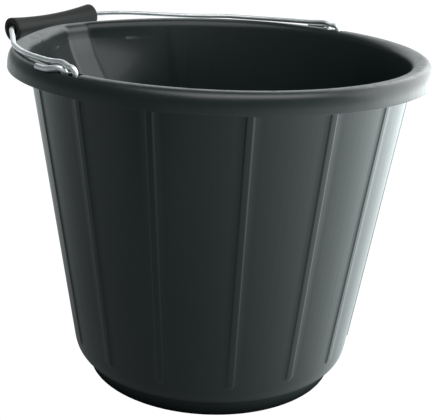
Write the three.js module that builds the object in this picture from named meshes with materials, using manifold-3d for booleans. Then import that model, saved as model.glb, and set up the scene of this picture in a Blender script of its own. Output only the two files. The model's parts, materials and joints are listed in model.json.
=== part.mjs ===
// A 14 litre builder's bucket: a moulded plastic pail with a pouring lip, a wire bail and a plastic grip.
// Millimetres, +Z up. The origin is the middle of the base, on the ground. The two ears are on the X axis,
// the pouring lip points along +Y, and the bail lies folded down over the lip.
import * as THREE from "three";
import { mergeVertices } from "three/addons/utils/BufferGeometryUtils.js";
import Module from "manifold-3d";

const wasm = await Module();
wasm.setup();

// The body is a cone whose outer radius grows with height.
const CONE_RADIUS = 112.7; // where the cone's outer face would meet the ground
const CONE_SLOPE = 0.141;
const WALL = 2.2;
const AROUND = 72; // flats in a full turn of the moulding

// The foot is a stepped ring under the body, with the base panel set a little above the ground.
const FOOT_RADIUS = 103.4;
const FOOT_WIDTH = 4.2;
const FOOT_HEIGHT = 13;
const LEDGE = 3.5; // how far the body stands out beyond the foot
const BASE_RECESS = 2;
const FLOOR = 3;
const CORNER_TOP = 26; // height at which the rounded bottom corner becomes the cone

// The rim is a crowned flange with a skirt hanging from its outer edge.
const RIM_TOP = 267.4;
const RIM_EDGE = 261.4; // height of the rim's inner edge
const RIM_RADIUS = 165;
const FLANGE = 2.6;
const SKIRT_BOTTOM = 252.5;
const CREST_RADIUS = 156;

// The pouring lip is a three-sided bulge: a narrow tip and two flanks that run back to the round wall.
const LIP_REACH = 168.5; // from the bucket's axis to the inside of the tip
const LIP_HALF_TIP = 13;
const LIP_HALF_MOUTH = 70;
const LIP_RAMP_TOP = 251; // below this height the lip slopes back into the wall
const LIP_RAMP = 0.642;
const LIP_BLEND = 3;
const LIP_FADE = 0.06; // angle in which the blend dies away past the end of a flank
const LIP_BOTTOM = 200;
const LIP_DIP = 3.4; // how far the rim drops towards the tip

// Thin upright ribs stiffen the wall. Those across the front are not quite evenly spaced.
const RIB_WIDTH = 5.4;
const RIB_PROUD = 1;
const RIB_SINK = 1;
const RIB_BOTTOM = 31;
const RIB_TOP = RIM_TOP - 6;
const FRONT_RIBS = [-113, -91, -68, -42, -18.5, 3.5]; // degrees round from -Y towards +X
const OTHER_RIBS = 8;

// Each ear is a bar left between two slots in the flange, and the bail's eye is bent round it.
const EAR_RADIUS = 155.5;
const EAR_HEIGHT = RIM_TOP - FLANGE / 2;
const BAR_HALF = 2;
const SLOT_INNER = -3.2; // slot edges, measured outwards from the ear
const SLOT_OUTER = 4.6;
const SLOT_SHORT = 8.6; // slot end on the lip side
const SLOT_LONG = 11.5; // slot end on the other side, where the bail's arm comes down

// The bail is one length of round wire.
const WIRE_RADIUS = 2;
const WIRE_SIDES = 8;
const EYE_RADIUS = 5;
const WIRE_LIFT = RIM_TOP + WIRE_RADIUS + 0.3; // the wire's middle where it lies on the rim
const ARM_RADIUS = 155;
const GRIP_REACH = 203; // from the bucket's axis to the wire's straight middle
const WIRE_HEIGHT = 263.3; // height of that straight middle
const WIRE_STRAIGHT = 40.6; // half its length
const WIRE_LEAN = 0.058; // the bail's end is not quite level: its +X side is the higher one
const LEAN_START = 140; // distance from the ears' line at which the lean sets in
const LEAN_FULL = 190;

// The grip is a waisted tube.
const GRIP_HALF = 46.4;
const GRIP_END_RADIUS = 10.4;
const GRIP_WAIST_RADIUS = 7.7;
const GRIP_BORE = 4.5;
const GRIP_HEIGHT = WIRE_HEIGHT - 1.6; // the grip hangs on the wire, which lies high in its bore
const GRIP_ROUND = 1.6;

const degrees = THREE.MathUtils.degToRad;
const coneRadius = (height) => CONE_RADIUS + CONE_SLOPE * height;

// A closed geometry as a manifold-3d solid, with shared vertices merged and empty triangles left out.
function solid(geometry) {
  const bare = geometry.clone();
  bare.deleteAttribute("normal");
  bare.deleteAttribute("uv");
  const merged = mergeVertices(bare, 1e-3);
  const corners = merged.index.array;
  const triangles = [];
  for (let i = 0; i < corners.length; i += 3) {
    const [a, b, c] = corners.subarray(i, i + 3);
    if (a !== b && b !== c && c !== a) triangles.push(a, b, c);
  }
  return new wasm.Manifold(
    new wasm.Mesh({
      numProp: 3,
      vertProperties: merged.attributes.position.array,
      triVerts: new Uint32Array(triangles),
    }),
  );
}

// A manifold-3d solid as a flat-shaded three.js geometry.
function geometryOf(body) {
  const mesh = body.getMesh();
  const geometry = new THREE.BufferGeometry();
  geometry.setAttribute("position", new THREE.BufferAttribute(mesh.vertProperties, 3));
  geometry.setIndex(new THREE.BufferAttribute(mesh.triVerts, 1));
  geometry.computeVertexNormals();
  return geometry;
}

// How far the pouring lip pushes the wall out, at an angle from +Y and a height. The plan of its inside
// is the tip's straight edge and one slanting flank on each side, joined to the round wall by a soft blend.
function lipBulge(angle, height) {
  const round = coneRadius(height) - WALL;
  const tip = LIP_REACH - LIP_RAMP * Math.max(0, LIP_RAMP_TOP - height);
  const shoulder = Math.sqrt(round ** 2 - LIP_HALF_MOUTH ** 2);
  const away = Math.abs(angle);
  const past = Math.max(0, away - Math.asin(LIP_HALF_MOUTH / round));
  if (past > LIP_FADE || height < LIP_BOTTOM) return 0;
  const across = LIP_HALF_MOUTH - LIP_HALF_TIP;
  const back = tip - shoulder;
  const flank = (tip * across + LIP_HALF_TIP * back) / (Math.cos(away) * across + Math.sin(away) * back);
  const fall = LIP_BLEND * (past / LIP_FADE) ** 2;
  const beyond = Math.min(tip / Math.cos(away), flank - fall) - round;
  const blend = Math.max(LIP_BLEND - Math.abs(beyond), 0) / LIP_BLEND;
  return Math.max(beyond, 0) + (blend ** 2 * LIP_BLEND) / 4;
}

// The moulding's section, from the middle of its underside round the rim to the middle of its floor.
function bucketSection() {
  const ledgeRadius = FOOT_RADIUS + LEDGE;
  const floorTop = BASE_RECESS + FLOOR;
  const cornerPull = 12;
  const lipLevels = [LIP_BOTTOM, 208, 217, 228, 240, LIP_RAMP_TOP];
  const section = new THREE.Path();
  section.moveTo(0, BASE_RECESS);
  section.lineTo(FOOT_RADIUS - FOOT_WIDTH - 0.4, BASE_RECESS);
  section.lineTo(FOOT_RADIUS - FOOT_WIDTH, 0);
  section.lineTo(FOOT_RADIUS, 0);
  section.lineTo(FOOT_RADIUS + 0.6, FOOT_HEIGHT - 1);
  section.lineTo(ledgeRadius, FOOT_HEIGHT);
  section.quadraticCurveTo(
    coneRadius(CORNER_TOP - cornerPull), CORNER_TOP - cornerPull,
    coneRadius(CORNER_TOP), CORNER_TOP,
  );
  for (const height of lipLevels) section.lineTo(coneRadius(height), height);
  const underside = RIM_TOP - FLANGE;
  section.lineTo(coneRadius(underside), underside);
  section.lineTo(RIM_RADIUS - 7, underside);
  section.quadraticCurveTo(RIM_RADIUS - 2.8, underside, RIM_RADIUS - 2.6, underside - 4.4);
  section.lineTo(RIM_RADIUS - WALL, SKIRT_BOTTOM);
  section.lineTo(RIM_RADIUS, SKIRT_BOTTOM);
  section.lineTo(RIM_RADIUS - 0.4, RIM_TOP - 10);
  section.quadraticCurveTo(RIM_RADIUS - 1.6, RIM_TOP, CREST_RADIUS, RIM_TOP);
  section.quadraticCurveTo(coneRadius(RIM_EDGE) - WALL + 1.2, RIM_TOP, coneRadius(RIM_EDGE) - WALL, RIM_EDGE);
  for (const height of lipLevels.reverse()) section.lineTo(coneRadius(height) - WALL, height);
  section.lineTo(coneRadius(CORNER_TOP + 1) - WALL, CORNER_TOP + 1);
  section.quadraticCurveTo(
    coneRadius(CORNER_TOP - cornerPull + 2) - WALL, CORNER_TOP - cornerPull + 2,
    ledgeRadius - WALL, FOOT_HEIGHT + WALL,
  );
  section.lineTo(FOOT_RADIUS - WALL, FOOT_HEIGHT + WALL - 1);
  section.lineTo(FOOT_RADIUS - WALL - 0.6, floorTop);
  section.lineTo(0, floorTop);
  return section.getPoints(3);
}

function bucketBody() {
  const turned = new THREE.LatheGeometry(bucketSection(), AROUND);
  turned.rotateX(Math.PI / 2);
  const position = turned.attributes.position;
  for (let i = 0; i < position.count; i++) {
    const x = position.getX(i);
    const y = position.getY(i);
    const z = position.getZ(i);
    const radius = Math.hypot(x, y);
    if (radius < 1) continue;
    const bulge = lipBulge(Math.atan2(x, y), z);
    const push = 1 + bulge / radius;
    const dip = z > LIP_RAMP_TOP ? (LIP_DIP * bulge) / lipBulge(0, z) : 0;
    position.setXYZ(i, x * push, y * push, z - dip);
  }
  return solid(turned);
}

// Angles of all the ribs: those listed for the front, then the rest spread evenly over what is left.
function ribAngles() {
  const last = FRONT_RIBS[FRONT_RIBS.length - 1];
  const step = (FRONT_RIBS[0] + 360 - last) / (OTHER_RIBS + 1);
  const others = Array.from({ length: OTHER_RIBS }, (_, i) => last + step * (i + 1));
  return [...FRONT_RIBS, ...others];
}

// One rib: a flat bar with a round lower end, laid on the cone and sunk a little into it.
function rib(angle) {
  const fromLip = Math.abs(Math.atan2(Math.sin(degrees(angle - 180)), Math.cos(degrees(angle - 180))));
  const top = fromLip < degrees(33) ? LIP_BOTTOM - 6 : RIB_TOP;
  const tilt = Math.atan(CONE_SLOPE);
  const length = (top - RIB_BOTTOM) / Math.cos(tilt);
  const half = RIB_WIDTH / 2;
  const outline = new THREE.Shape();
  outline.moveTo(half, half);
  outline.lineTo(half, length);
  outline.lineTo(-half, length);
  outline.lineTo(-half, half);
  outline.absarc(0, half, half, Math.PI, 2 * Math.PI);
  const bar = new THREE.ExtrudeGeometry(outline, {
    depth: RIB_SINK + RIB_PROUD, bevelEnabled: false, curveSegments: 4,
  });
  bar.translate(0, 0, -RIB_SINK);
  bar.rotateX(Math.PI / 2 + tilt);
  bar.translate(0, -coneRadius(RIB_BOTTOM), RIB_BOTTOM);
  bar.rotateZ(degrees(angle));
  return solid(bar);
}

// A slot through the flange beside the ear's bar, from one distance along Y to another.
function earSlot(side, from, to) {
  const low = Math.min(from, to);
  const high = Math.max(from, to);
  const corner = 1.5;
  const inner = EAR_RADIUS + SLOT_INNER;
  const outer = EAR_RADIUS + SLOT_OUTER;
  const outline = new THREE.Shape();
  outline.moveTo(inner + corner, low);
  outline.absarc(outer - corner, low + corner, corner, -Math.PI / 2, 0);
  outline.absarc(outer - corner, high - corner, corner, 0, Math.PI / 2);
  outline.absarc(inner + corner, high - corner, corner, Math.PI / 2, Math.PI);
  outline.absarc(inner + corner, low + corner, corner, Math.PI, 1.5 * Math.PI);
  const cutter = new THREE.ExtrudeGeometry(outline, {
    depth: 3 * FLANGE, bevelEnabled: false, curveSegments: 3,
  });
  cutter.translate(0, 0, RIM_TOP - 2 * FLANGE);
  if (side < 0) cutter.rotateZ(Math.PI);
  return solid(cutter);
}

function bucketGeometry() {
  let body = bucketBody();
  for (const angle of ribAngles()) body = body.add(rib(angle));
  for (const side of [1, -1]) {
    body = body.subtract(earSlot(side, BAR_HALF * side, SLOT_SHORT * side));
    body = body.subtract(earSlot(side, -BAR_HALF * side, -SLOT_LONG * side));
  }
  return geometryOf(body);
}

// A point near the +X ear, given outwards from it, towards the lip and upwards.
const earPoint = (out, along, up) => new THREE.Vector3(EAR_RADIUS + out, along, EAR_HEIGHT + up);

// A point on the arc that the arm follows round the rim, at an angle from the X axis.
function armPoint(angle, radius, height) {
  return new THREE.Vector3(radius * Math.cos(angle), radius * Math.sin(angle), height);
}

// The +X half of the bail, from the middle of the grip to the cut end of the tail: straight through the
// grip, down to the rim, round it to the ear, over the tail and round the ear's bar, and back along itself.
function halfBail() {
  const points = [
    new THREE.Vector3(0, GRIP_REACH, WIRE_HEIGHT),
    new THREE.Vector3(WIRE_STRAIGHT, GRIP_REACH, WIRE_HEIGHT),
  ];
  const rimTouch = armPoint(degrees(39), ARM_RADIUS + 4.5, WIRE_LIFT);
  const bendRadius = 12;
  const slant = Math.atan2(GRIP_REACH - rimTouch.y - 5, rimTouch.x - WIRE_STRAIGHT - 10);
  for (let step = 1; step <= 4; step++) {
    const turn = (slant * step) / 4;
    points.push(
      new THREE.Vector3(
        WIRE_STRAIGHT + bendRadius * Math.sin(turn),
        GRIP_REACH - bendRadius * (1 - Math.cos(turn)),
        WIRE_HEIGHT,
      ),
    );
  }
  const bent = points[points.length - 1];
  points.push(bent.clone().lerp(rimTouch, 0.2).setZ(WIRE_HEIGHT + 1.8));
  points.push(bent.clone().lerp(rimTouch, 0.72).setZ(WIRE_LIFT - 1.3));
  points.push(rimTouch);
  for (const [angle, out, rise] of [[36, 3.8, 0], [29, 2.2, 0.1], [22, 1, 0.4], [15, 0, 1], [9.5, 0, 1.5]]) {
    points.push(armPoint(degrees(angle), ARM_RADIUS + out, WIRE_LIFT + rise));
  }
  points.push(earPoint(-1.1, 16, 5.9));
  points.push(earPoint(-1, 11, 6.4));
  points.push(earPoint(-0.8, 7.8, 6.2));
  points.push(earPoint(-0.5, 4.8, 5.5));
  points.push(earPoint(-0.2, 1.8, 4.7));
  points.push(earPoint(0, -1.3, 4.65));
  points.push(earPoint(0, -3.8, 3.4));
  for (let turn = 160; turn <= 360; turn += 20) {
    const angle = degrees(turn);
    points.push(earPoint(0, EYE_RADIUS * Math.cos(angle), EYE_RADIUS * Math.sin(angle)));
  }
  points.push(earPoint(0.8, 5.8, 1.3));
  points.push(earPoint(2.6, 7.5, 3.3));
  points.push(earPoint(4.4, 11, 3.1));
  points.push(earPoint(5.8, 17, 1.9));
  points.push(earPoint(5.1, 24, 1.5));
  points.push(earPoint(4.1, 30, 1.5));
  return points;
}

// A curve that visits the given points in turn, so that its stations are exactly where they are wanted.
class Route extends THREE.Curve {
  constructor(points) {
    super();
    this.points = points;
  }
  getPoint(share, target = new THREE.Vector3()) {
    const place = share * (this.points.length - 1);
    const index = Math.min(Math.floor(place + 1e-9), this.points.length - 2);
    return target.lerpVectors(this.points[index], this.points[index + 1], place - index);
  }
  getPointAt(share, target) {
    return this.getPoint(share, target);
  }
  getTangentAt(share) {
    const index = Math.round(share * (this.points.length - 1));
    const before = this.points[Math.max(index - 1, 0)];
    const after = this.points[Math.min(index + 1, this.points.length - 1)];
    return after.clone().sub(before).normalize();
  }
}

function bailGeometry() {
  const half = halfBail();
  const mirrored = half.slice(1).map((point) => new THREE.Vector3(-point.x, point.y, point.z));
  const route = new Route([...mirrored.reverse(), ...half]);
  for (const point of route.points) {
    const share = THREE.MathUtils.clamp((point.y - LEAN_START) / (LEAN_FULL - LEAN_START), 0, 1);
    point.z += WIRE_LEAN * point.x * share;
  }
  const section = new THREE.Shape();
  section.absarc(0, 0, WIRE_RADIUS, 0, 2 * Math.PI);
  const wire = new THREE.ExtrudeGeometry(section, {
    steps: route.points.length - 1, extrudePath: route, curveSegments: WIRE_SIDES,
  });
  return geometryOf(solid(wire));
}

// The grip: a tube turned about its length, waisted in the middle and flared at the mouth of its bore.
function gripGeometry() {
  const section = new THREE.Path();
  const flare = 1;
  section.moveTo(GRIP_BORE, -GRIP_HALF + flare);
  section.lineTo(GRIP_BORE + flare, -GRIP_HALF);
  section.lineTo(GRIP_END_RADIUS - GRIP_ROUND, -GRIP_HALF);
  section.quadraticCurveTo(GRIP_END_RADIUS, -GRIP_HALF, GRIP_END_RADIUS, -GRIP_HALF + GRIP_ROUND);
  for (const share of [-0.7, -0.35, 0, 0.35, 0.7]) {
    const radius = GRIP_WAIST_RADIUS + (GRIP_END_RADIUS - GRIP_WAIST_RADIUS) * share ** 2;
    section.lineTo(radius, share * (GRIP_HALF - GRIP_ROUND));
  }
  section.lineTo(GRIP_END_RADIUS, GRIP_HALF - GRIP_ROUND);
  section.quadraticCurveTo(GRIP_END_RADIUS, GRIP_HALF, GRIP_END_RADIUS - GRIP_ROUND, GRIP_HALF);
  section.lineTo(GRIP_BORE + flare, GRIP_HALF);
  section.lineTo(GRIP_BORE, GRIP_HALF - flare);
  section.lineTo(GRIP_BORE, -GRIP_HALF + flare);
  const tube = new THREE.LatheGeometry(section.getPoints(2), 24);
  tube.rotateZ(-Math.PI / 2);
  return geometryOf(solid(tube));
}

function addPiece(group, name, geometry, finish) {
  const mesh = new THREE.Mesh(geometry, new THREE.MeshStandardMaterial(finish));
  mesh.name = name;
  group.add(mesh);
  return mesh;
}

const bucket = new THREE.Group();
addPiece(bucket, "bucket_shell", bucketGeometry(), { color: 0x23272a, roughness: 0.42, metalness: 0 });

const bail = new THREE.Group();
bucket.add(bail);
addPiece(bail, "bail_wire", bailGeometry(), { color: 0xc9cdd0, roughness: 0.3, metalness: 1 });
const grip = addPiece(bail, "bail_grip", gripGeometry(), { color: 0x1d1f21, roughness: 0.5, metalness: 0 });
grip.position.set(0, GRIP_REACH, GRIP_HEIGHT);
grip.rotation.y = -Math.atan(WIRE_LEAN);

export default bucket;
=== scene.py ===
"""The looks of a 14 litre builder's bucket: a moulded black pail, a galvanised bail and a plastic grip.

Shapes are worked out in millimetres and turned into metres when a mesh is made. +Z is up, the ears of the
bail are on the X axis and the pouring lip points along +Y, as in the CAD frame.
"""
import json
import math

import bpy
import bmesh
import numpy as np
from mathutils import Matrix, Quaternion, Vector


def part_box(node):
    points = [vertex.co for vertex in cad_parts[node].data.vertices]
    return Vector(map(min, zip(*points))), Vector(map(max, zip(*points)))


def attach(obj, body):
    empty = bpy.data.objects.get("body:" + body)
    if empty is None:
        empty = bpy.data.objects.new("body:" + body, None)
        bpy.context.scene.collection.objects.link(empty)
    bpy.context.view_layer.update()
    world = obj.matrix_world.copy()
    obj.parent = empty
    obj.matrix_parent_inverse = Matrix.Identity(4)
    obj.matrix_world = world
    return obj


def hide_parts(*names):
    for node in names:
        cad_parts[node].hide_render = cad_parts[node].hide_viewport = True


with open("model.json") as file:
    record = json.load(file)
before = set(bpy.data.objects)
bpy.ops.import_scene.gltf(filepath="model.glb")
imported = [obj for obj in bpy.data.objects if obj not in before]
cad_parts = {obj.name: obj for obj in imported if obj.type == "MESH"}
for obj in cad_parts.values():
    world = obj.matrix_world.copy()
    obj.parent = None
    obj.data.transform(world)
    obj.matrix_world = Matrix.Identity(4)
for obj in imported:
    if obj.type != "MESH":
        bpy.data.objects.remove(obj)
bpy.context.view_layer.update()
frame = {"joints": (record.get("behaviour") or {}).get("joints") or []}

MM = 0.001
SHARP_ANGLE = 40  # edges sharper than this, in degrees, aren't smoothed over

shell_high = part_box("bucket_shell")[1]
joints = {joint["name"]: joint for joint in frame["joints"]}

# The pail. The rim's radius and height come from the frame, the rest of the moulding follows the CAD part.
RIM_RADIUS = shell_high[0] / MM
RIM_TOP = shell_high[2] / MM
CONE_RADIUS = 112.7  # of the wall's cone, at the ground
CONE_SLOPE = 0.141
WALL = 2.2
FOOT_RADIUS = 103.4
FOOT_WIDTH = 4.2
FOOT_HEIGHT = 13
LEDGE = 3.5
BASE_RECESS = 2
FLOOR = 3
CORNER_TOP = 26  # where the wall's straight slope starts
CORNER_PULL = 12
RIM_EDGE = RIM_TOP - 6  # where the inside of the wall starts to turn into the rim
FLANGE = 2.6
SKIRT_BOTTOM = 252.5
CREST_RADIUS = 156  # of the highest line of the rim

# How many pieces each curve of the section is divided into, and how far apart the rows of the base may be.
CORNER_STEPS = 8
HOLLOW_STEPS = 7
CROWN_STEPS = 14
CROWN_STEPS_INSIDE = 10
FILLET_STEPS = 4
FILLET_MOST = 0.48  # the share of a side that a fillet may take
BASE_SPACING = 12

# The pouring lip.
LIP_REACH = 168.5
LIP_HALF_TIP = 13
LIP_HALF_MOUTH = 70
LIP_RAMP_TOP = 251
LIP_RAMP = 0.642  # how much the tip draws in for each millimetre down the ramp
LIP_BLEND = 3  # distance over which the lip runs into the wall
LIP_FADE = 0.06  # angle past the mouth's edge, in radians, in which the lip dies away
LIP_BOTTOM = 200
LIP_DIP = 3.4  # how much lower the rim is at the tip
LIP_CREASE = 1.2  # radius over which the tip and a flank run into each other
LIP_SOFT = 14  # height over which the tip turns into its ramp

# The ribs, at angles round from -Y towards +X.
RIB_WIDTH = 5.4
RIB_PROUD = 0.8
RIB_BOTTOM = 31
RIB_TOP = RIM_TOP - 5.4
RIB_EDGE = 1.6  # width of the soft edge of a rib
SHORT_RIB_TOP = LIP_BOTTOM - 6  # where the ribs under the lip stop
FRONT_RIBS = [-113, -91, -68, -42, -18.5, 3.5]
OTHER_RIBS = 8
LIP_SECTOR = 33  # ribs this close to the lip, in degrees, stop below it
FINE_SECTOR = 36  # columns this close to the lip, in degrees, are set closer

# How far apart the rows of the pail's mesh may be between two heights. The first that holds is used.
ROW_ZONES = [
    (RIB_BOTTOM - 2, RIB_BOTTOM + 5, 0.6),
    (SHORT_RIB_TOP - 2.5, SHORT_RIB_TOP + 2.5, 0.6),
    (LIP_RAMP_TOP - 2 * LIP_SOFT, math.inf, 1.6),
    (LIP_BOTTOM - 2, math.inf, 3.5),
]
ROW_SPACING = 9  # everywhere else
COLUMN_ANGLE = 2.3
COLUMN_ANGLE_AT_LIP = 0.8
RIB_COLUMNS = [-3.6, -2.9, -2.5, -2.1, -1.6, 0, 1.6, 2.1, 2.5, 2.9, 3.6]  # offsets across a rib

# The ears: a bar between two slots in the flange.
EAR_RADIUS = 155.5
EAR_HEIGHT = joints["bail_swing"]["pos_m"][2] / MM
BAR_HALF = 2
SLOT_INNER = -3.2  # inwards and outwards of EAR_RADIUS
SLOT_OUTER = 4.6
SLOT_SHORT = 8.6  # from the bar's middle to the end of the slot on the lip's side, and of the other
SLOT_LONG = 11.5
SLOT_CORNER = 1.5

# The bail.
WIRE_RADIUS = 2
EYE_RADIUS = 5
WIRE_LIFT = RIM_TOP + WIRE_RADIUS + 0.3  # height of the wire where it lies on the rim
ARM_RADIUS = 155
GRIP_REACH = joints["grip_spin"]["pos_m"][1] / MM
GRIP_HEIGHT = joints["grip_spin"]["pos_m"][2] / MM
WIRE_HEIGHT = GRIP_HEIGHT + 1.6  # the grip hangs on the wire
WIRE_STRAIGHT = 40.6  # half the length of its straight stretch
BEND_RADIUS = 12
BEND_STEPS = 4
BEND_OUT = 10  # about how far the bend carries the wire outwards and inwards
BEND_IN = 5
WIRE_LEAN = joints["grip_spin"]["axis"][2] / joints["grip_spin"]["axis"][0]
LEAN_START = 140  # the lean sets in between these distances from the ears' axis
LEAN_FULL = 190
WIRE_SIDES = 18
WIRE_SPACING = 1.1  # from one ring of the wire's mesh to the next
WIRE_END_ROUND = 0.35

# Places on the slope from the bend to the rim: the share of the way, and the wire's height there.
SLOPE = [(0.2, WIRE_HEIGHT + 1.8), (0.72, WIRE_LIFT - 1.3)]

# Places on the +X arm along the rim: degrees from the X axis, outwards of ARM_RADIUS and above WIRE_LIFT.
RIM_TOUCH = (39, 4.5, 0)
ARM = [(36, 3.8, 0), (29, 2.2, 0.1), (22, 1, 0.4), (15, 0, 1), (9.5, 0, 1.5)]

# The eye, in degrees round the bar's middle: from the side away from the lip, under the bar, to the other.
EYE_TURNS = range(160, 361, 20)

# Places on the wire near the +X ear: outwards from it, towards the lip and upwards.
HUMP = [
    (-1.1, 16, 5.9), (-1, 11, 6.4), (-0.8, 7.8, 6.2), (-0.5, 4.8, 5.5),
    (-0.2, 1.8, 4.7), (0, -1.3, 4.65), (0, -3.8, 3.4),
]
TAIL = [(0.8, 5.8, 1.3), (2.6, 7.5, 3.3), (4.4, 11, 3.1), (5.8, 17, 1.9), (5.1, 24, 1.5), (4.1, 30, 1.5)]

# The grip.
GRIP_HALF = 46.4
GRIP_END_RADIUS = 10.4
GRIP_WAIST_RADIUS = 7.7
GRIP_BORE = 4.5
GRIP_SIDES = 72
GRIP_TURN = 55  # degrees by which its moulding lines are turned about the wire
MOULDING_LINE = 0.22

# The pail's plastic. A roughness written as two numbers goes from the smoothest place to the dullest.
PAIL_DARK = (0.006, 0.0112, 0.0115, 1)
PAIL_LIGHT = (0.009, 0.0152, 0.0155, 1)
PAIL_RUBBED = (0.03, 0.036, 0.037, 1)
PAIL_ROUGH = (0.3, 0.37)
PAIL_IOR = 1.5
FLOW_STRETCH = 26.0  # the flow marks' width is measured in radians times this, their length in metres
RUBBED_SHARE = 0.55
RUBBED_ROUGH = 0.16
RUBBED_RIM = (2.2, 0.2)  # rubbed between these depths under the rim's top, in millimetres, more and more
RUBBED_FOOT = 4  # and less and less up to this height
SCRATCH_ROUGH = 0.05

# The wire's zinc.
WIRE_BRIGHT = (0.88, 0.9, 0.91, 1)
WIRE_DULL = (0.66, 0.68, 0.7, 1)
WIRE_ROUGH = (0.38, 0.46)
WIRE_DULL_ROUGH = 0.08

# The grip's plastic.
GRIP_DARK = (0.008, 0.009, 0.0095, 1)
GRIP_LIGHT = (0.011, 0.012, 0.0125, 1)
GRIP_ROUGH = (0.56, 0.62)
GRIP_MARK_ROUGH = 0.06
GRIP_IOR = 1.4

# The camera, in metres and degrees.
CAMERA_DISTANCE = 0.7448
CAMERA_HEIGHT = 0.3962
CAMERA_AZIMUTH = -50  # round from -Y towards +X
CAMERA_PAN = 0.185  # how far it looks to the right of the pail's middle
CAMERA_PITCH = 19.51
CAMERA_ROLL = 2.36
CAMERA_LENS = 78.47
SENSOR_WIDTH = 36

# The studio, in metres, with azimuths in degrees from +Y towards +X. The camera sees the floor and the room
# as pure white. All other rays meet their glow.
WHITE = 1.05
CAMERA_TINT = (1, 1, 1, 1)
STUDIO_TINT = (0.9, 1, 1, 1)
ROOM_LIGHT = 0.17
# The floor's glow set here is painted light: it stands in for lamps lighting the floor from one side.
GLOW_AZIMUTH = 110  # where the floor glows most
GLOW_MOST = 2.7
GLOW_LEAST = 0.33
GLOW_FOCUS = 2.0
GLOW_NEAR = (0.2, 0.77)  # a distance from the pail's middle, and what the floor's glow is multiplied by there
GLOW_FAR = (0.9, 1.35)
PAINTED_SHADE_AZIMUTH = 269  # where a strip of shade is painted into the floor's glow, as if a flag kept light off the floor
PAINTED_SHADE_WIDTH = 14  # degrees to each side of it
PAINTED_SHADE_SHARE = 0.25  # of the glow that is left in the middle of the painted shade
PAINTED_SHADE_START = 0.33  # the painted shade sets in between these distances from the pail's middle
PAINTED_SHADE_FULL = 0.6
HORIZON_GLOW = 0.6  # the room's glow at the horizon, as a share of the floor's
HORIZON_HEIGHT = 0.75  # sine of the elevation at which it has died away
FOOT_SHADOW = 0.125  # distance from the pail's middle at which the painted shadow round its foot ends
FLOOR_SIZE = 12

# The soft boxes: name, azimuth, elevation, distance from the aim, size, power in watts and aim.
LIGHTS = [
    ("key", 115, 24, 1.1, (1.5, 1.15), 14, (0, 0, 0.05)),
    ("back", 50, 30, 1.5, (2.0, 0.9), 6, (0, 0, 0.2)),
    ("top", 215, 74, 1.3, (1.5, 0.8), 7.5, (0, 0, 0.2)),
    ("front", 206, 38, 0.5, (0.4, 0.2), 0.5, (0.045, 0.14, 0.24)),
]


# ---------------------------------------------------------------- shapes in millimetres

def cone_radius(height):
    return CONE_RADIUS + CONE_SLOPE * height


def smooth_min(a, b, radius):
    """The lesser of a and b, rounded where the two are within radius of each other."""
    near = np.clip(1 - np.abs(a - b) / radius, 0, 1)
    return np.minimum(a, b) - near ** 2 * radius / 4


def smooth_step(share):
    share = np.clip(share, 0, 1)
    return share * share * (3 - 2 * share)


def lip_bulge(angle, height):
    """How far the pouring lip pushes the wall out, at an angle from +Y and a height.

    The least values of 0.3 and 1 only guard the divisions at angles that are far from the lip.
    """
    inside = cone_radius(height) - WALL
    below = LIP_RAMP_TOP - height
    setting_in = np.clip(below + LIP_SOFT, 0, 2 * LIP_SOFT) ** 2 / (4 * LIP_SOFT)
    tip = LIP_REACH - LIP_RAMP * np.where(below < LIP_SOFT, setting_in, below)
    shoulder = np.sqrt(inside ** 2 - LIP_HALF_MOUTH ** 2)
    away = np.abs(angle)
    past = np.maximum(0, away - np.arcsin(LIP_HALF_MOUTH / inside))
    across = LIP_HALF_MOUTH - LIP_HALF_TIP
    back = tip - shoulder
    spread = np.cos(away) * across + np.sin(away) * back
    flank = (tip * across + LIP_HALF_TIP * back) / np.maximum(spread, 1)
    straight = tip / np.maximum(np.cos(away), 0.3)
    beyond = smooth_min(straight, flank - LIP_BLEND * (past / LIP_FADE) ** 2, LIP_CREASE) - inside
    blend = np.maximum(LIP_BLEND - np.abs(beyond), 0) / LIP_BLEND
    bulge = np.maximum(beyond, 0) + blend ** 2 * LIP_BLEND / 4
    return np.where((past > LIP_FADE) | (height < LIP_BOTTOM), 0, bulge)


def arc_corner(before, corner, after, radius):
    """The points of a fillet of the given radius, laid into the corner of a polyline."""
    to_before = (before - corner).normalized()
    to_after = (after - corner).normalized()
    half = to_before.angle(to_after) / 2
    room = min((before - corner).length, (after - corner).length)
    reach = min(radius / math.tan(half), FILLET_MOST * room)
    start = corner + to_before * reach
    end = corner + to_after * reach
    return curve_points(start, corner, end, FILLET_STEPS)


def curve_point(start, pull, end, share):
    return start * (1 - share) ** 2 + pull * 2 * share * (1 - share) + end * share ** 2


def curve_points(start, pull, end, steps):
    return [curve_point(Vector(start), Vector(pull), Vector(end), step / steps) for step in range(steps + 1)]


def filleted(corners):
    """A polyline of (radius, height, fillet radius) corners with its fillets laid in."""
    points = [Vector(corner[:2]) for corner in corners]
    line = []
    for index, corner in enumerate(corners):
        if corner[2] == 0 or index in (0, len(corners) - 1):
            line.append(points[index])
        else:
            line += arc_corner(points[index - 1], points[index], points[index + 1], corner[2])
    return line


def row_spacing(height):
    """How far apart the rows of the pail's mesh may be at a height: closer where a rib ends or the lip is."""
    for low, high, spacing in ROW_ZONES:
        if low < height < high:
            return spacing
    return ROW_SPACING


def divided(line, spacing):
    """The polyline with its long stretches divided, so that no two rows of the mesh are too far apart."""
    dense = [line[0]]
    for start, end in zip(line, line[1:]):
        steps = max(1, math.ceil((end - start).length / spacing((start.y + end.y) / 2)))
        dense += [start.lerp(end, step / steps) for step in range(1, steps + 1)]
    return dense


def wall_line(offset, low, high):
    """A straight stretch of the conical wall, cut at the heights where the row spacing changes."""
    marks = sorted([LIP_RAMP_TOP, *[edge for zone in ROW_ZONES for edge in zone[:2]]])
    heights = [low, *[mark for mark in marks if low < mark < high], high]
    return [Vector((cone_radius(height) + offset, height)) for height in heights]


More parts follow.
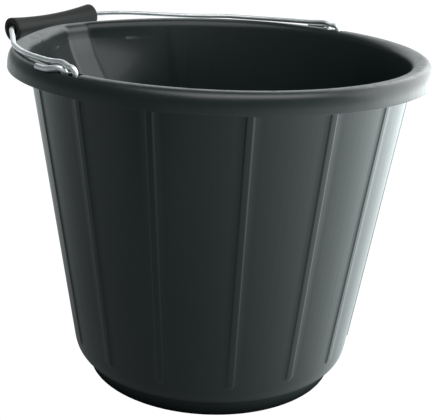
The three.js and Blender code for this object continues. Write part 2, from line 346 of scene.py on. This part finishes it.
def pail_section():
    """The moulding's section and, for each of its points, whether it is on the outside of the wall."""
    ledge = FOOT_RADIUS + LEDGE
    floor_top = BASE_RECESS + FLOOR
    underside = RIM_TOP - FLANGE
    shoulder = (RIM_RADIUS - 0.4, RIM_TOP - 10)
    foot = filleted([
        (0, BASE_RECESS, 0),
        (FOOT_RADIUS - FOOT_WIDTH - 0.6, BASE_RECESS, 0.8),
        (FOOT_RADIUS - FOOT_WIDTH, 0, 0.8),
        (FOOT_RADIUS, 0, 0.9),
        (FOOT_RADIUS + 0.6, FOOT_HEIGHT - 1, 0.7),
        (ledge, FOOT_HEIGHT, 0.9),
        (cone_radius(FOOT_HEIGHT + 4), FOOT_HEIGHT + 5, 0),
    ])[:-1]
    corner = curve_points(
        (ledge + 0.35, FOOT_HEIGHT + 0.7),
        (cone_radius(CORNER_TOP - CORNER_PULL), CORNER_TOP - CORNER_PULL),
        (cone_radius(CORNER_TOP), CORNER_TOP), CORNER_STEPS)
    outside = divided(corner + wall_line(0, CORNER_TOP, underside - 2)[1:], row_spacing)
    skirt = filleted([
        (cone_radius(underside - 2), underside - 2, 0),
        (cone_radius(underside), underside, 1.6),
        (RIM_RADIUS - 6, underside, 2),
        (RIM_RADIUS - 2.7, underside - 4.4, 3),
        (RIM_RADIUS - WALL, SKIRT_BOTTOM, 0.7),
        (RIM_RADIUS, SKIRT_BOTTOM, 0.9),
        (*shoulder, 0),
    ])[1:-1]
    crest = (CREST_RADIUS, RIM_TOP)
    inner_edge = (cone_radius(RIM_EDGE) - WALL, RIM_EDGE)
    crown = curve_points(shoulder, (RIM_RADIUS - 1.6, RIM_TOP), crest, CROWN_STEPS)
    crown += curve_points(crest, (inner_edge[0] + 1.2, RIM_TOP), inner_edge, CROWN_STEPS_INSIDE)[1:]
    inside = list(reversed(wall_line(-WALL, CORNER_TOP + 1, RIM_EDGE)))[1:]
    hollow = curve_points(
        (cone_radius(CORNER_TOP + 1) - WALL, CORNER_TOP + 1),
        (cone_radius(CORNER_TOP - CORNER_PULL + 2) - WALL, CORNER_TOP - CORNER_PULL + 2),
        (ledge - WALL, FOOT_HEIGHT + WALL), HOLLOW_STEPS)[1:]
    floor = filleted([
        (ledge - WALL, FOOT_HEIGHT + WALL, 0),
        (FOOT_RADIUS - WALL, FOOT_HEIGHT + WALL - 1, 1.2),
        (FOOT_RADIUS - WALL - 0.6, floor_top, 2.4),
        (0, floor_top, 0),
    ])[1:]
    rim_and_floor = divided(skirt + crown + inside + hollow + floor, row_spacing)
    base = divided(foot, lambda height: BASE_SPACING)
    line = base + outside + rim_and_floor
    on_wall = [False] * len(base) + [True] * len(outside) + [False] * len(rim_and_floor)
    return line, on_wall


def rib_angles():
    """The ribs' angles from +Y towards +X, in radians and in rising order, each with its top's height."""
    last = FRONT_RIBS[-1]
    step = (FRONT_RIBS[0] + 360 - last) / (OTHER_RIBS + 1)
    degrees = FRONT_RIBS + [last + step * (index + 1) for index in range(OTHER_RIBS)]
    ribs = []
    for degree in degrees:
        from_lip = (180 - degree) % 360
        short = min(from_lip, 360 - from_lip) < LIP_SECTOR
        ribs.append((math.radians(from_lip), SHORT_RIB_TOP if short else RIB_TOP))
    return sorted(ribs)


def pail_columns(ribs):
    """The mesh's columns: an angle each, plus a distance along the wall that keeps rib edges parallel."""
    angles, shifts = [], []
    for index, (angle, _) in enumerate(ribs):
        following = ribs[(index + 1) % len(ribs)][0]
        gap = (following - angle) % (2 * math.pi)
        angles += [angle] * len(RIB_COLUMNS)
        shifts += RIB_COLUMNS
        middle = (angle + gap / 2 + math.pi) % (2 * math.pi) - math.pi
        near_lip = abs(middle) - gap / 2 < math.radians(FINE_SECTOR)
        steps = math.ceil(gap / math.radians(COLUMN_ANGLE_AT_LIP if near_lip else COLUMN_ANGLE))
        for step in range(1, steps):
            share = step / steps
            angles.append(angle + gap * share)
            shifts.append(RIB_COLUMNS[-1] * (1 - 2 * share))
    return np.array(angles), np.array(shifts)


def rib_height(ribs, angle, height):
    """How proud of the wall the nearest rib stands at each place on it."""
    half = RIB_WIDTH / 2
    proud = np.zeros_like(angle)
    for rib_angle, top in ribs:
        away = (angle - rib_angle + math.pi) % (2 * math.pi) - math.pi
        across = np.abs(away * cone_radius(height))
        below = np.minimum(height - (RIB_BOTTOM + half), 0)
        depth = np.minimum(half - np.hypot(across, below), top - height)
        proud = np.maximum(proud, RIB_PROUD * smooth_step((depth + RIB_EDGE / 2) / RIB_EDGE))
    return proud


def make_mesh(name, points, faces):
    """A new smooth-shaded mesh object from points in millimetres."""
    mesh = bpy.data.meshes.new(name)
    mesh.from_pydata([tuple(float(value) * MM for value in point) for point in points], [], faces)
    mesh.validate()
    mesh.polygons.foreach_set("use_smooth", [True] * len(mesh.polygons))
    piece = bpy.data.objects.new(name, mesh)
    bpy.context.scene.collection.objects.link(piece)
    return piece


def face_outwards(piece):
    shape = bmesh.new()
    shape.from_mesh(piece.data)
    bmesh.ops.recalc_face_normals(shape, faces=shape.faces)
    if shape.calc_volume(signed=True) < 0:
        bmesh.ops.reverse_faces(shape, faces=shape.faces)
    shape.to_mesh(piece.data)
    shape.free()


def make_pail():
    """The pail, turned from its section, with the lip and the ribs pushed out and the slots cut."""
    line, on_wall = pail_section()
    ribs = rib_angles()
    turn, shift = pail_columns(ribs)
    rings = line[1:-1]
    outer = np.array(on_wall[1:-1])[:, None]
    radius = np.array([point.x for point in rings])[:, None]
    height = np.array([point.y for point in rings])[:, None]
    angle = turn[None, :] + shift[None, :] / cone_radius(height)
    angle = (angle + math.pi) % (2 * math.pi) - math.pi
    height = np.broadcast_to(height, angle.shape)
    bulge = lip_bulge(angle, height)
    reach = radius + bulge + np.where(outer, rib_height(ribs, angle, height), 0)
    most = lip_bulge(np.zeros_like(angle), height).clip(1)
    dip = np.where(height > LIP_RAMP_TOP, LIP_DIP * bulge / most, 0)
    grid = np.stack([reach * np.sin(angle), reach * np.cos(angle), height - dip], axis=-1)
    rows, columns = angle.shape
    points = [*grid.reshape(-1, 3), (0, 0, line[0].y), (0, 0, line[-1].y)]
    faces = []
    for column in range(columns):
        following = (column + 1) % columns
        faces.append((rows * columns, following, column))
        faces.append((rows * columns + 1, (rows - 1) * columns + column, (rows - 1) * columns + following))
        for row in range(rows - 1):
            here, there = row * columns, (row + 1) * columns
            faces.append((here + column, here + following, there + following, there + column))
    pail = make_mesh("pail_moulding", points, faces)
    face_outwards(pail)
    cut_slots(pail)
    return pail


def slot_outline(near, far):
    """A slot's outline in plan, at the +X ear: a rectangle with round corners."""
    low, high = min(near, far), max(near, far)
    inner, outer = EAR_RADIUS + SLOT_INNER, EAR_RADIUS + SLOT_OUTER
    centres = [
        (outer - SLOT_CORNER, low + SLOT_CORNER, -90), (outer - SLOT_CORNER, high - SLOT_CORNER, 0),
        (inner + SLOT_CORNER, high - SLOT_CORNER, 90), (inner + SLOT_CORNER, low + SLOT_CORNER, 180),
    ]
    outline = []
    for x, y, first in centres:
        for step in range(6):
            turn = math.radians(first + 18 * step)
            outline.append((x + SLOT_CORNER * math.cos(turn), y + SLOT_CORNER * math.sin(turn)))
    return outline


def slot_cutter(side, near, far):
    """A block as deep as the rim that cuts one slot. The side is 1 for the +X ear and -1 for the other."""
    outline = [(side * x, y) for x, y in slot_outline(near, far)]
    count = len(outline)
    points = [(x, y, height) for height in (RIM_TOP - 2 * FLANGE, RIM_TOP + FLANGE) for x, y in outline]
    sides = [(i, (i + 1) % count, count + (i + 1) % count, count + i) for i in range(count)]
    cutter = make_mesh("cutter", points, [*sides, tuple(range(count)), tuple(range(count, 2 * count))])
    face_outwards(cutter)
    return cutter


def cut_slots(pail):
    """Cuts the two slots of each ear through the rim."""
    for side in (1, -1):
        for near, far in ((BAR_HALF, SLOT_SHORT), (-BAR_HALF, -SLOT_LONG)):
            cutter = slot_cutter(side, near, far)
            cut = pail.modifiers.new("slot", "BOOLEAN")
            cut.operation = "DIFFERENCE"
            cut.object = cutter
            cut.solver = "EXACT"
            apply_modifiers(pail)
            bpy.data.objects.remove(cutter)
    pail.data.set_sharp_from_angle(angle=math.radians(SHARP_ANGLE))


def apply_modifiers(piece):
    """Replaces a piece's mesh by what its modifiers make of it."""
    evaluated = piece.evaluated_get(bpy.context.evaluated_depsgraph_get())
    mesh = bpy.data.meshes.new_from_object(evaluated)
    piece.modifiers.clear()
    piece.data = mesh


# ---------------------------------------------------------------- the bail

def ear_point(out, along, up):
    """A point near the +X ear, given outwards from it, towards the lip and upwards."""
    return Vector((EAR_RADIUS + out, along, EAR_HEIGHT + up))


def arm_point(degrees, out, up):
    """A point on the arc that the arm follows round the rim, at an angle from the X axis."""
    angle = math.radians(degrees)
    radius = ARM_RADIUS + out
    return Vector((radius * math.cos(angle), radius * math.sin(angle), WIRE_LIFT + up))


def half_bail():
    """The +X half of the bail's route, from the middle of the grip to the cut end of the tail."""
    middle = Vector((0, GRIP_REACH, WIRE_HEIGHT))
    bend = Vector((WIRE_STRAIGHT, GRIP_REACH, WIRE_HEIGHT))
    rim_touch = arm_point(*RIM_TOUCH)
    slant = math.atan2(GRIP_REACH - rim_touch.y - BEND_IN, rim_touch.x - WIRE_STRAIGHT - BEND_OUT)
    points = [middle, middle.lerp(bend, 0.5), bend]
    for step in range(1, BEND_STEPS + 1):
        turn = slant * step / BEND_STEPS
        points.append(bend + Vector((BEND_RADIUS * math.sin(turn), -BEND_RADIUS * (1 - math.cos(turn)), 0)))
    bent = points[-1]
    for share, height in SLOPE:
        on_the_way = bent.lerp(rim_touch, share)
        points.append(Vector((on_the_way.x, on_the_way.y, height)))
    points.append(rim_touch)
    points += [arm_point(*place) for place in ARM]
    points += [ear_point(*place) for place in HUMP]
    for turn in EYE_TURNS:
        angle = math.radians(turn)
        points.append(ear_point(0, EYE_RADIUS * math.cos(angle), EYE_RADIUS * math.sin(angle)))
    points += [ear_point(*place) for place in TAIL]
    return points


def bail_route():
    """The whole of the bail's route, from one cut end to the other, with its lean."""
    half = half_bail()
    mirrored = [Vector((-point.x, point.y, point.z)) for point in half[1:]]
    route = [point.copy() for point in [*reversed(mirrored), *half]]
    for point in route:
        share = min(max((point.y - LEAN_START) / (LEAN_FULL - LEAN_START), 0), 1)
        point.z += WIRE_LEAN * point.x * share
    return route


def rounded_route(points, spacing):
    """A centripetal Catmull-Rom curve through the points, with a station about every spacing millimetres."""
    ends = [points[0] * 2 - points[1], *points, points[-1] * 2 - points[-2]]
    route = [points[0]]
    for before, start, end, after in zip(ends, ends[1:], ends[2:], ends[3:]):
        knots = [0.0]
        for first, second in ((before, start), (start, end), (end, after)):
            knots.append(knots[-1] + max((second - first).length, 1e-6) ** 0.5)
        steps = max(2, round((end - start).length / spacing))
        for step in range(1, steps + 1):
            place = knots[1] + (knots[2] - knots[1]) * step / steps
            route.append(spline_point((before, start, end, after), knots, place))
    return route


def spline_point(points, knots, place):
    """The value at one place of the Catmull-Rom piece with these four points and knots."""
    level = list(points)
    for width in (1, 2, 3):
        following = []
        for index in range(len(level) - 1):
            low, high = knots[index], knots[index + width]
            if width == 3:
                low, high = knots[1], knots[2]
            share = (place - low) / (high - low)
            following.append(level[index].lerp(level[index + 1], share))
        level = following
    return level[0]


def swept_tube(name, route, radius, sides, end_round):
    """A round wire along the route, its cut ends a little rounded, with its length kept as an attribute."""
    tangent = (route[1] - route[0]).normalized()
    across = tangent.orthogonal().normalized()
    stations = []
    length = 0.0
    for index, point in enumerate(route):
        after = route[min(index + 1, len(route) - 1)]
        before = route[max(index - 1, 0)]
        turned = (after - before).normalized()
        across = tangent.rotation_difference(turned) @ across
        across = (across - turned * across.dot(turned)).normalized()
        tangent = turned
        length += (point - before).length
        stations.append((point, across, turned, radius, length))
    first, last = stations[0], stations[-1]
    start = (first[0] - first[2] * end_round, *first[1:3], radius - end_round, first[4])
    end = (last[0] + last[2] * end_round, *last[1:3], radius - end_round, last[4])
    stations = [start, *stations, end]
    points, along = [], []
    for centre, right, forward, size, place in stations:
        upward = forward.cross(right)
        for side in range(sides):
            turn = 2 * math.pi * side / sides
            points.append(centre + right * size * math.cos(turn) + upward * size * math.sin(turn))
            along.append((turn, place * MM, 0))
    faces = [tuple(reversed(range(sides))), tuple(range(len(points) - sides, len(points)))]
    for ring in range(len(stations) - 1):
        for side in range(sides):
            here, there = ring * sides + side, ring * sides + (side + 1) % sides
            faces.append((here, there, there + sides, here + sides))
    tube = make_mesh(name, points, faces)
    route_attribute = tube.data.attributes.new("route", "FLOAT_VECTOR", "POINT")
    route_attribute.data.foreach_set("vector", [value for place in along for value in place])
    face_outwards(tube)
    tube.data.set_sharp_from_angle(angle=math.radians(SHARP_ANGLE))
    return tube


def make_bail():
    route = rounded_route(bail_route(), WIRE_SPACING)
    return swept_tube("bail_hoop", route, WIRE_RADIUS, WIRE_SIDES, WIRE_END_ROUND)


# ---------------------------------------------------------------- the grip

def grip_section():
    """Half of the grip's section, from the bore's middle to the outside's middle, as (radius, along)."""
    waist = GRIP_WAIST_RADIUS
    flare = GRIP_END_RADIUS - waist
    steps = 24
    outside = []
    for step in range(steps + 1):
        share = step / steps
        outside.append((waist + flare * share ** 2, share * (GRIP_HALF - 2.2)))
    end = filleted([
        (outside[-1][0], outside[-1][1], 0),
        (GRIP_END_RADIUS, GRIP_HALF, 1.6),
        (GRIP_BORE + 2.4, GRIP_HALF, 0.5),
        (GRIP_BORE + 1.9, GRIP_HALF - 1.6, 0.5),
        (GRIP_BORE, GRIP_HALF - 1.9, 0.4),
        (GRIP_BORE, 0, 0),
    ])[1:]
    return [Vector(point) for point in outside] + end


def make_grip():
    """The grip: a waisted tube with a shallow recess round its bore and a moulding line along each side."""
    half = grip_section()
    section = half + [Vector((point.x, -point.y)) for point in reversed(half[1:-1])]
    sides = GRIP_SIDES
    points = []
    for point in section:
        outside = point.x > GRIP_BORE + 2.5 and abs(point.y) < GRIP_HALF - 1
        for side in range(sides):
            turn = 2 * math.pi * side / sides
            line = MOULDING_LINE if outside and side % (sides // 2) == 0 else 0
            points.append((point.y, (point.x + line) * math.sin(turn), (point.x + line) * math.cos(turn)))
    faces = []
    count = len(section)
    for ring in range(count):
        for side in range(sides):
            here, there = ring * sides, ((ring + 1) % count) * sides
            faces.append((here + side, here + (side + 1) % sides, there + (side + 1) % sides, there + side))
    grip = make_mesh("grip_sleeve", points, faces)
    lean = Matrix.Rotation(-math.atan(WIRE_LEAN), 4, "Y") @ Matrix.Rotation(math.radians(GRIP_TURN), 4, "X")
    grip.data.transform(Matrix.Translation((0, GRIP_REACH * MM, GRIP_HEIGHT * MM)) @ lean)
    face_outwards(grip)
    grip.data.set_sharp_from_angle(angle=math.radians(SHARP_ANGLE))
    return grip


# ---------------------------------------------------------------- materials

class Nodes:
    """A short way to build the nodes of a new material or world."""

    def __init__(self, owner):
        self.owner = owner
        self.owner.use_nodes = True
        self.tree = self.owner.node_tree

    def add(self, kind, links=None, **settings):
        node = self.tree.nodes.new("ShaderNode" + kind)
        for setting, value in settings.items():
            setattr(node, setting, value)
        for socket, value in (links or {}).items():
            self.link(value, node.inputs[socket])
        return node

    def link(self, value, socket):
        """Feeds a socket from another node's output, or sets its value."""
        if isinstance(value, bpy.types.NodeSocket):
            self.tree.links.new(value, socket)
        else:
            socket.default_value = value

    def noise(self, place, scale, detail, roughness=0.5):
        links = {"Vector": place, "Scale": scale, "Detail": detail, "Roughness": roughness}
        return self.add("TexNoise", links).outputs["Fac"]

    def spread(self, value, low, high, to_low, to_high):
        """The value's stretch from low to high as one from to_low to to_high, held at both ends."""
        links = {"Value": value, "From Min": low, "From Max": high, "To Min": to_low, "To Max": to_high}
        return self.add("MapRange", links, clamp=True).outputs["Result"]

    def math(self, operation, first, second=0.0):
        return self.add("Math", {0: first, 1: second}, operation=operation).outputs[0]

    def mix(self, share, first, second):
        """Two colours mixed. A Mix node's sockets 6 and 7, and its output 2, are the ones for colours."""
        node = self.add("Mix", {0: share, 6: first, 7: second}, data_type="RGBA")
        return node.outputs[2]

    def bump(self, height, distance, strength, normal=None):
        links = {"Height": height, "Distance": distance, "Strength": strength}
        if normal is not None:
            links["Normal"] = normal
        return self.add("Bump", links).outputs["Normal"]

    def set(self, **sockets):
        """Feeds or sets sockets of the shader, whose names are written with _ for a space."""
        for name, value in sockets.items():
            self.link(value, self.tree.nodes["Principled BSDF"].inputs[name.replace("_", " ")])


def pail_plastic():
    """Black polyethylene: upright flow marks, a fine skin, a few scratches, and rubbed at rim and foot."""
    nodes = Nodes(bpy.data.materials.new("pail_plastic"))
    place = nodes.add("TexCoord").outputs["Object"]
    xyz = nodes.add("SeparateXYZ", {0: place})
    turn = nodes.math("ARCTAN2", xyz.outputs["X"], xyz.outputs["Y"])
    height = xyz.outputs["Z"]
    around = nodes.math("MULTIPLY", turn, FLOW_STRETCH)
    flow_place = nodes.add("CombineXYZ", {0: around, 2: height}).outputs[0]
    flow = nodes.noise(flow_place, 3.0, 4.0, 0.6)
    cloud = nodes.noise(place, 14.0, 3.0)
    grain = nodes.noise(place, 1400.0, 2.0)
    skin = nodes.noise(place, 260.0, 2.0)
    slanted = {0: place, "Rotation": (0.5, 0.3, 0.2), "Scale": (220.0, 220.0, 9.0)}
    scratch_place = nodes.add("Mapping", slanted).outputs[0]
    scratches = nodes.spread(nodes.noise(scratch_place, 2.0, 2.0), 0.66, 0.74, 0.0, 1.0)
    low, high = [(RIM_TOP - depth) * MM for depth in RUBBED_RIM]
    near_rim = nodes.spread(height, low, high, 0.0, 1.0)
    near_foot = nodes.spread(height, 0.0, RUBBED_FOOT * MM, 1.0, 0.0)
    worn = nodes.math("MAXIMUM", near_rim, near_foot)
    patches = nodes.spread(nodes.noise(place, 90.0, 5.0, 0.7), 0.5, 0.68, 0.0, 1.0)
    wear = nodes.math("MULTIPLY", worn, patches)
    colour = nodes.mix(cloud, PAIL_DARK, PAIL_LIGHT)
    colour = nodes.mix(nodes.math("MULTIPLY", wear, RUBBED_SHARE), colour, PAIL_RUBBED)
    rough = nodes.spread(flow, 0.3, 0.7, *PAIL_ROUGH)
    rough = nodes.math("ADD", rough, nodes.math("MULTIPLY", scratches, SCRATCH_ROUGH))
    rough = nodes.math("ADD", rough, nodes.math("MULTIPLY", wear, RUBBED_ROUGH))
    normal = nodes.bump(grain, 0.02 * MM, 0.5)
    normal = nodes.bump(skin, 0.06 * MM, 0.4, normal)
    normal = nodes.bump(flow, 0.25 * MM, 0.35, normal)
    nodes.set(Base_Color=colour, Roughness=rough, Normal=normal, IOR=PAIL_IOR)
    return nodes.owner


def galvanised_wire():
    """Zinc on drawn wire: small spangles, duller patches and lines along the wire."""
    nodes = Nodes(bpy.data.materials.new("galvanised_wire"))
    place = nodes.add("TexCoord").outputs["Object"]
    route = nodes.add("Attribute", attribute_name="route").outputs["Vector"]
    lines_place = nodes.add("Mapping", {0: route, "Scale": (3.0, 12.0, 1.0)}).outputs[0]
    lines = nodes.noise(lines_place, 2.0, 3.0)
    spangle = nodes.add("TexVoronoi", {"Vector": place, "Scale": 420.0}).outputs["Color"]
    tone = nodes.add("SeparateColor", {0: spangle}).outputs[0]
    patches = nodes.noise(place, 110.0, 4.0, 0.6)
    colour = nodes.mix(nodes.spread(patches, 0.35, 0.7, 0.0, 0.8), WIRE_BRIGHT, WIRE_DULL)
    rough = nodes.spread(tone, 0.0, 1.0, *WIRE_ROUGH)
    rough = nodes.math("ADD", rough, nodes.spread(patches, 0.4, 0.7, 0.0, WIRE_DULL_ROUGH))
    normal = nodes.bump(lines, 0.01 * MM, 0.4)
    normal = nodes.bump(patches, 0.015 * MM, 0.3, normal)
    nodes.set(Base_Color=colour, Metallic=1.0, Roughness=rough, Normal=normal)
    return nodes.owner


def grip_plastic():
    """Matte black plastic with a fine grain and faint marks along the grip."""
    nodes = Nodes(bpy.data.materials.new("grip_plastic"))
    place = nodes.add("TexCoord").outputs["Object"]
    cloud = nodes.noise(place, 40.0, 3.0)
    grain = nodes.noise(place, 1800.0, 2.0)
    drag_place = nodes.add("Mapping", {0: place, "Scale": (30.0, 700.0, 700.0)}).outputs[0]
    drag = nodes.noise(drag_place, 1.0, 3.0)
    colour = nodes.mix(cloud, GRIP_DARK, GRIP_LIGHT)
    rough = nodes.spread(cloud, 0.3, 0.7, *GRIP_ROUGH)
    rough = nodes.math("ADD", rough, nodes.spread(drag, 0.5, 0.75, 0.0, GRIP_MARK_ROUGH))
    normal = nodes.bump(grain, 0.01 * MM, 0.4)
    normal = nodes.bump(drag, 0.02 * MM, 0.3, normal)
    nodes.set(Base_Color=colour, Roughness=rough, Normal=normal, IOR=GRIP_IOR)
    return nodes.owner


# ---------------------------------------------------------------- stage, lights and camera

def facing(nodes, place, azimuth):
    """The cosine of the angle between the direction of a place and an azimuth from +Y towards +X."""
    around = math.radians(azimuth)
    towards = nodes.add("VectorMath", {0: place}, operation="NORMALIZE").outputs["Vector"]
    links = {0: towards, 1: (math.sin(around), math.cos(around), 0)}
    return nodes.add("VectorMath", links, operation="DOT_PRODUCT").outputs["Value"]


def glow_towards(nodes, place):
    """How brightly the studio is lit round the pail, in the direction of a place: most on one side."""
    share = nodes.spread(facing(nodes, place, GLOW_AZIMUTH), -1.0, 1.0, 0.0, 1.0)
    share = nodes.math("POWER", share, GLOW_FOCUS)
    return nodes.spread(share, 0.0, 1.0, GLOW_LEAST, GLOW_MOST)


def glow_of_floor(nodes):
    """The floor's glow, painted light standing in for lamps lighting it: it grows with the distance from the
    pail, and a painted shadow leaves none close to the foot.
    """
    place = nodes.add("TexCoord").outputs["Object"]
    away = nodes.add("VectorMath", {0: place}, operation="LENGTH").outputs["Value"]
    # Painted shadow: the floor has no glow close to the foot.
    clear = nodes.spread(away, FOOT_RADIUS * MM, FOOT_SHADOW, 0.0, 1.0)
    growth = nodes.spread(away, GLOW_NEAR[0], GLOW_FAR[0], GLOW_NEAR[1], GLOW_FAR[1])
    # Painted shade: a strip of the floor's glow is darkened, as if a flag kept light off it.
    edge = math.cos(math.radians(PAINTED_SHADE_WIDTH))
    painted_shade = nodes.spread(facing(nodes, place, PAINTED_SHADE_AZIMUTH), edge, 1.0, 1.0, PAINTED_SHADE_SHARE)
    painted_shade = nodes.spread(away, PAINTED_SHADE_START, PAINTED_SHADE_FULL, 1.0, painted_shade)
    glow = nodes.math("MULTIPLY", glow_towards(nodes, place), painted_shade)
    return nodes.math("MULTIPLY", glow, nodes.math("MULTIPLY", clear, growth))


def make_stage():
    """The floor: pure white to the camera, and to every other ray a pale sheet whose glow is painted light,
    brightest on one side.
    """
    bpy.ops.mesh.primitive_plane_add(size=FLOOR_SIZE)
    floor = bpy.context.object
    floor.name = "floor"
    nodes = Nodes(bpy.data.materials.new("floor"))
    seen = nodes.add("LightPath").outputs["Is Camera Ray"]
    glow = nodes.spread(seen, 0.0, 1.0, glow_of_floor(nodes), WHITE)
    tint = nodes.mix(seen, STUDIO_TINT, CAMERA_TINT)
    lit = nodes.add("Emission", {"Color": tint, "Strength": glow})
    nodes.link(lit.outputs[0], nodes.tree.nodes["Material Output"].inputs["Surface"])
    floor.data.materials.append(nodes.owner)


def make_world():
    """The room: pure white to the camera, and to every other ray lit along the horizon and dim above it."""
    nodes = Nodes(bpy.data.worlds.new("studio"))
    direction = nodes.add("TexCoord").outputs["Generated"]
    height = nodes.add("SeparateXYZ", {0: direction}).outputs["Z"]
    low = nodes.spread(height, HORIZON_HEIGHT, 0.0, 0.0, HORIZON_GLOW)
    room = nodes.math("MAXIMUM", nodes.math("MULTIPLY", glow_towards(nodes, direction), low), ROOM_LIGHT)
    seen = nodes.add("LightPath").outputs["Is Camera Ray"]
    strength = nodes.spread(seen, 0.0, 1.0, room, WHITE)
    background = nodes.tree.nodes["Background"]
    nodes.link(strength, background.inputs["Strength"])
    nodes.link(nodes.mix(seen, STUDIO_TINT, CAMERA_TINT), background.inputs["Color"])
    bpy.context.scene.world = nodes.owner


def area_light(name, azimuth, elevation, distance, size, power, aim):
    """A soft box seen at an azimuth from +Y towards +X and an elevation, at a distance from its aim."""
    light = bpy.data.lights.new(name, "AREA")
    light.shape = "RECTANGLE"
    light.size, light.size_y = size
    light.energy = power
    lamp = bpy.data.objects.new(name, light)
    around, up = math.radians(azimuth), math.radians(elevation)
    away = Vector((math.sin(around) * math.cos(up), math.cos(around) * math.cos(up), math.sin(up)))
    lamp.location = Vector(aim) + away * distance
    lamp.rotation_euler = (-away).to_track_quat("-Z", "Y").to_euler()
    lamp.visible_camera = False
    bpy.context.scene.collection.objects.link(lamp)


def make_camera():
    data = bpy.data.cameras.new("camera")
    data.lens = CAMERA_LENS
    data.sensor_width = SENSOR_WIDTH
    camera = bpy.data.objects.new("camera", data)
    around = math.radians(CAMERA_AZIMUTH)
    camera.location = (CAMERA_DISTANCE * math.sin(around), -CAMERA_DISTANCE * math.cos(around), CAMERA_HEIGHT)
    heading = math.radians(-CAMERA_AZIMUTH + CAMERA_PAN)
    pitch = math.radians(CAMERA_PITCH)
    level = math.cos(pitch)
    forward = Vector((math.sin(heading) * level, math.cos(heading) * level, -math.sin(pitch)))
    roll = Quaternion((0, 0, 1), math.radians(CAMERA_ROLL))
    camera.rotation_euler = (forward.to_track_quat("-Z", "Y") @ roll).to_euler()
    bpy.context.scene.collection.objects.link(camera)
    bpy.context.scene.camera = camera


def finish_piece(piece, body, node, material):
    piece.data.materials.clear()
    piece.data.materials.append(material)
    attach(piece, body)
    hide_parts(node)


bpy.context.scene.view_settings.view_transform = "Standard"
make_camera()
make_stage()
make_world()
for soft_box in LIGHTS:
    area_light(*soft_box)
finish_piece(make_pail(), "pail", "bucket_shell", pail_plastic())
finish_piece(make_bail(), "bail", "bail_wire", galvanised_wire())
finish_piece(make_grip(), "grip", "bail_grip", grip_plastic())
